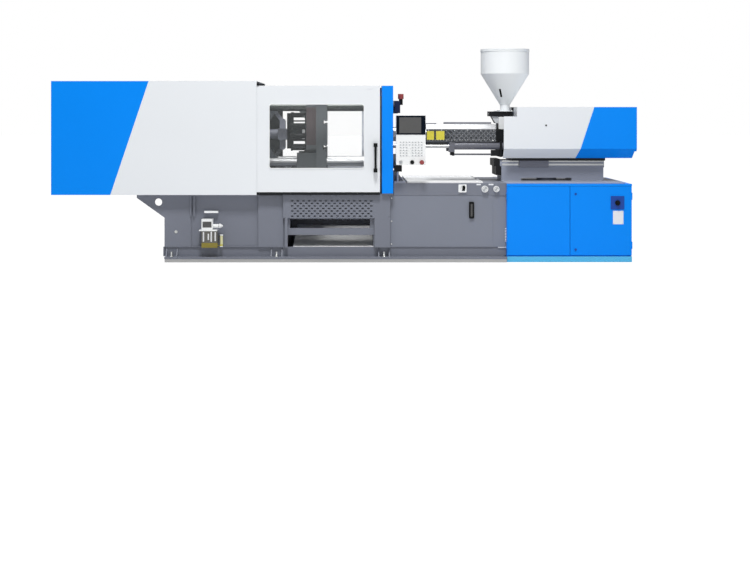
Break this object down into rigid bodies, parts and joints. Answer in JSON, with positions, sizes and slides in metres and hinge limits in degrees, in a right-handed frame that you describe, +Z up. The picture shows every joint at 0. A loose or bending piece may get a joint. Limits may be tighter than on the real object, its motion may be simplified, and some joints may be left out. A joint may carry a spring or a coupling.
{
  "type": "injection moulding machine",
  "caption": "Horizontal plastics injection moulding machine with a toggle clamp under a long cover, sliding safety gates, a carriage with hopper and a control cabinet.",
  "frame": {"origin": "on the floor, under the middle of the box around the machine", "axes": "+X along the machine axis from the clamp end to the injection end, -Y towards the operator, +Z up"},
  "size_m": [5.344, 1.41, 1.957],
  "materials": {
    "grey_paint": "satin enamel",
    "tank_paint": "satin enamel",
    "dark_paint": "satin enamel",
    "white_paint": "satin powder coat",
    "blue_paint": "satin powder coat",
    "navy_plastic": "satin",
    "tray_sheet": "satin",
    "platen_paint": "painted casting",
    "link_steel": "painted casting",
    "bright_steel": "ground",
    "machined_steel": "machined",
    "hood_sheet": "brushed sheet",
    "guard_sheet": "satin",
    "black_plastic": "satin",
    "white_plastic": "satin",
    "red_plastic": "satin",
    "oil_plastic": "translucent",
    "window": "clear polycarbonate",
    "screen": "glossy",
    "hopper_white": "satin"
  },
  "bodies": {
    "bed": {"bed_frame": "grey_paint", "oil_tank": "tank_paint", "drip_tray": "tray_sheet", "vent_panel": "grey_paint", "clamp_cover": "white_paint", "clamp_end_cover": "blue_paint", "guard_posts": "blue_paint", "gate_rails": "dark_paint", "fixed_platen": "platen_paint", "end_platen": "platen_paint", "tie_bars": "bright_steel", "tie_bar_nuts": "link_steel", "clamp_cylinder": "dark_paint", "lubricator_pump": "white_plastic", "lubricator_reservoir": "oil_plastic", "level_gauge": "black_plastic", "tank_fittings": "white_plastic", "safety_valve": "red_plastic", "panel_arm": "dark_paint", "injection_base": "tank_paint", "carriage_rods": "bright_steel", "cabinet": "blue_paint"},
    "front_gate": {"front_gate": "white_paint", "front_gate_window": "window", "front_gate_handle": "black_plastic"},
    "rear_gate": {"rear_gate": "white_paint", "rear_gate_window": "window"},
    "upper_rear_link": {"upper_rear_link": "link_steel"},
    "upper_front_link": {"upper_front_link": "link_steel"},
    "moving_platen": {"moving_platen": "platen_paint"},
    "ejector": {"ejector_plate": "machined_steel"},
    "lower_rear_link": {"lower_rear_link": "link_steel"},
    "lower_front_link": {"lower_front_link": "link_steel"},
    "upper_drive_link": {"upper_drive_link": "machined_steel"},
    "crosshead": {"crosshead": "machined_steel"},
    "lower_drive_link": {"lower_drive_link": "machined_steel"},
    "panel": {"control_panel": "white_plastic", "control_screen": "screen"},
    "emergency_stop": {"emergency_stop": "red_plastic"},
    "selector": {"selector_knob": "black_plastic"},
    "key": {"key_switch": "machined_steel"},
    "carriage": {"injection_carriage": "dark_paint", "injection_cover": "white_paint", "injection_end_cover": "blue_paint", "barrel": "bright_steel", "barrel_guard": "guard_sheet", "guard_hood": "hood_sheet", "carriage_cylinders": "tank_paint", "feed_throat": "dark_paint", "hopper": "hopper_white"},
    "screw_drive": {"screw_drive": "tank_paint"},
    "screw": {"screw": "bright_steel"},
    "hopper_lid": {"hopper_lid": "hopper_white"},
    "hopper_slide": {"hopper_slide": "bright_steel"},
    "left_door": {"left_cabinet_door": "blue_paint"},
    "right_door": {"right_cabinet_door": "blue_paint", "main_switch_plate": "navy_plastic"},
    "upper_lock": {"upper_door_lock": "black_plastic"},
    "lower_lock": {"lower_door_lock": "black_plastic"},
    "main_switch": {"main_switch_handle": "black_plastic"}
  },
  "joints": [
    {"name": "front_gate_slide", "type": "slide", "parent": "bed", "child": "front_gate", "axis": [-1, 0, 0], "range_m": [0, 1]},
    {"name": "rear_gate_slide", "type": "slide", "parent": "bed", "child": "rear_gate", "axis": [-1, 0, 0], "range_m": [0, 1]},
    {"name": "clamp_toggle", "type": "hinge", "parent": "bed", "child": "upper_rear_link", "pos_m": [-0.78828, 0, 1.267], "axis": [0, 1, 0], "range_deg": [0, 50]},
    {"name": "upper_knee", "type": "hinge", "parent": "upper_rear_link", "child": "upper_front_link", "pos_m": [-0.56664, 0, 1.55068], "axis": [0, 1, 0], "range_deg": [-100, 0]},
    {"name": "platen_pivot", "type": "hinge", "parent": "upper_front_link", "child": "moving_platen", "pos_m": [-0.345, 0, 1.267], "axis": [0, 1, 0], "range_deg": [0, 50]},
    {"name": "lower_toggle", "type": "hinge", "parent": "bed", "child": "lower_rear_link", "pos_m": [-0.78828, 0, 1.027], "axis": [0, 1, 0], "range_deg": [-50, 0]},
    {"name": "lower_knee", "type": "hinge", "parent": "lower_rear_link", "child": "lower_front_link", "pos_m": [-0.56664, 0, 0.74332], "axis": [0, 1, 0], "range_deg": [0, 100]},
    {"name": "upper_drive_pivot", "type": "hinge", "parent": "upper_rear_link", "child": "upper_drive_link", "pos_m": [-0.70208, 0, 1.37732], "axis": [0, 1, 0], "range_deg": [-100, 0]},
    {"name": "crosshead_pivot", "type": "hinge", "parent": "upper_drive_link", "child": "crosshead", "pos_m": [-0.61589, 0, 1.267], "axis": [0, 1, 0], "range_deg": [0, 50]},
    {"name": "lower_drive_pivot", "type": "hinge", "parent": "lower_rear_link", "child": "lower_drive_link", "pos_m": [-0.70208, 0, 0.91668], "axis": [0, 1, 0], "range_deg": [0, 100]},
    {"name": "ejector_slide", "type": "slide", "parent": "moving_platen", "child": "ejector", "axis": [1, 0, 0], "range_m": [0, 0.1]},
    {"name": "panel_swivel", "type": "hinge", "parent": "bed", "child": "panel", "pos_m": [0.452, -0.64, 0.88], "axis": [0, 0, -1], "range_deg": [0, 45]},
    {"name": "emergency_stop_press", "type": "slide", "parent": "panel", "child": "emergency_stop", "axis": [0, 1, 0], "range_m": [0, 0.006], "stiffness_N_per_m": 600},
    {"name": "selector_turn", "type": "hinge", "parent": "panel", "child": "selector", "pos_m": [0.577, -0.68, 0.906], "axis": [0, 1, 0], "range_deg": [-45, 45]},
    {"name": "key_turn", "type": "hinge", "parent": "panel", "child": "key", "pos_m": [0.474, -0.68, 0.906], "axis": [0, 1, 0], "range_deg": [0, 90]},
    {"name": "carriage_slide", "type": "slide", "parent": "bed", "child": "carriage", "axis": [1, 0, 0], "range_m": [0, 0.3]},
    {"name": "screw_drive_slide", "type": "slide", "parent": "carriage", "child": "screw_drive", "axis": [1, 0, 0], "range_m": [0, 0.18]},
    {"name": "screw_turn", "type": "hinge", "parent": "screw_drive", "child": "screw", "pos_m": [1.565, 0, 1.147], "axis": [1, 0, 0], "continuous": true},
    {"name": "hopper_lid_hinge", "type": "hinge", "parent": "carriage", "child": "hopper_lid", "pos_m": [1.491, 0.238, 1.945], "axis": [-1, 0, 0], "range_deg": [0, 100]},
    {"name": "hopper_shut_off", "type": "slide", "parent": "carriage", "child": "hopper_slide", "axis": [-1, 0, 0], "range_m": [0, 0.085]},
    {"name": "left_door_hinge", "type": "hinge", "parent": "bed", "child": "left_door", "pos_m": [1.44, -0.6, 0.377], "axis": [0, 0, -1], "range_deg": [0, 110]},
    {"name": "right_door_hinge", "type": "hinge", "parent": "bed", "child": "right_door", "pos_m": [2.566, -0.6, 0.377], "axis": [0, 0, 1], "range_deg": [0, 110]},
    {"name": "upper_lock_turn", "type": "hinge", "parent": "right_door", "child": "upper_lock", "pos_m": [2.058, -0.6, 0.616], "axis": [0, 1, 0], "range_deg": [0, 90]},
    {"name": "lower_lock_turn", "type": "hinge", "parent": "right_door", "child": "lower_lock", "pos_m": [2.058, -0.6, 0.114], "axis": [0, 1, 0], "range_deg": [0, 90]},
    {"name": "main_switch_turn", "type": "hinge", "parent": "right_door", "child": "main_switch", "pos_m": [2.436, -0.6, 0.537], "axis": [0, 1, 0], "range_deg": [0, 90]}
  ],
  "couplings": [
    {"joint": "upper_knee", "follows": "clamp_toggle", "ratio": -2},
    {"joint": "platen_pivot", "follows": "clamp_toggle", "ratio": 1},
    {"joint": "lower_toggle", "follows": "clamp_toggle", "ratio": -1},
    {"joint": "lower_knee", "follows": "clamp_toggle", "ratio": 2},
    {"joint": "upper_drive_pivot", "follows": "clamp_toggle", "ratio": -2},
    {"joint": "crosshead_pivot", "follows": "clamp_toggle", "ratio": 1},
    {"joint": "lower_drive_pivot", "follows": "clamp_toggle", "ratio": 2}
  ]
}
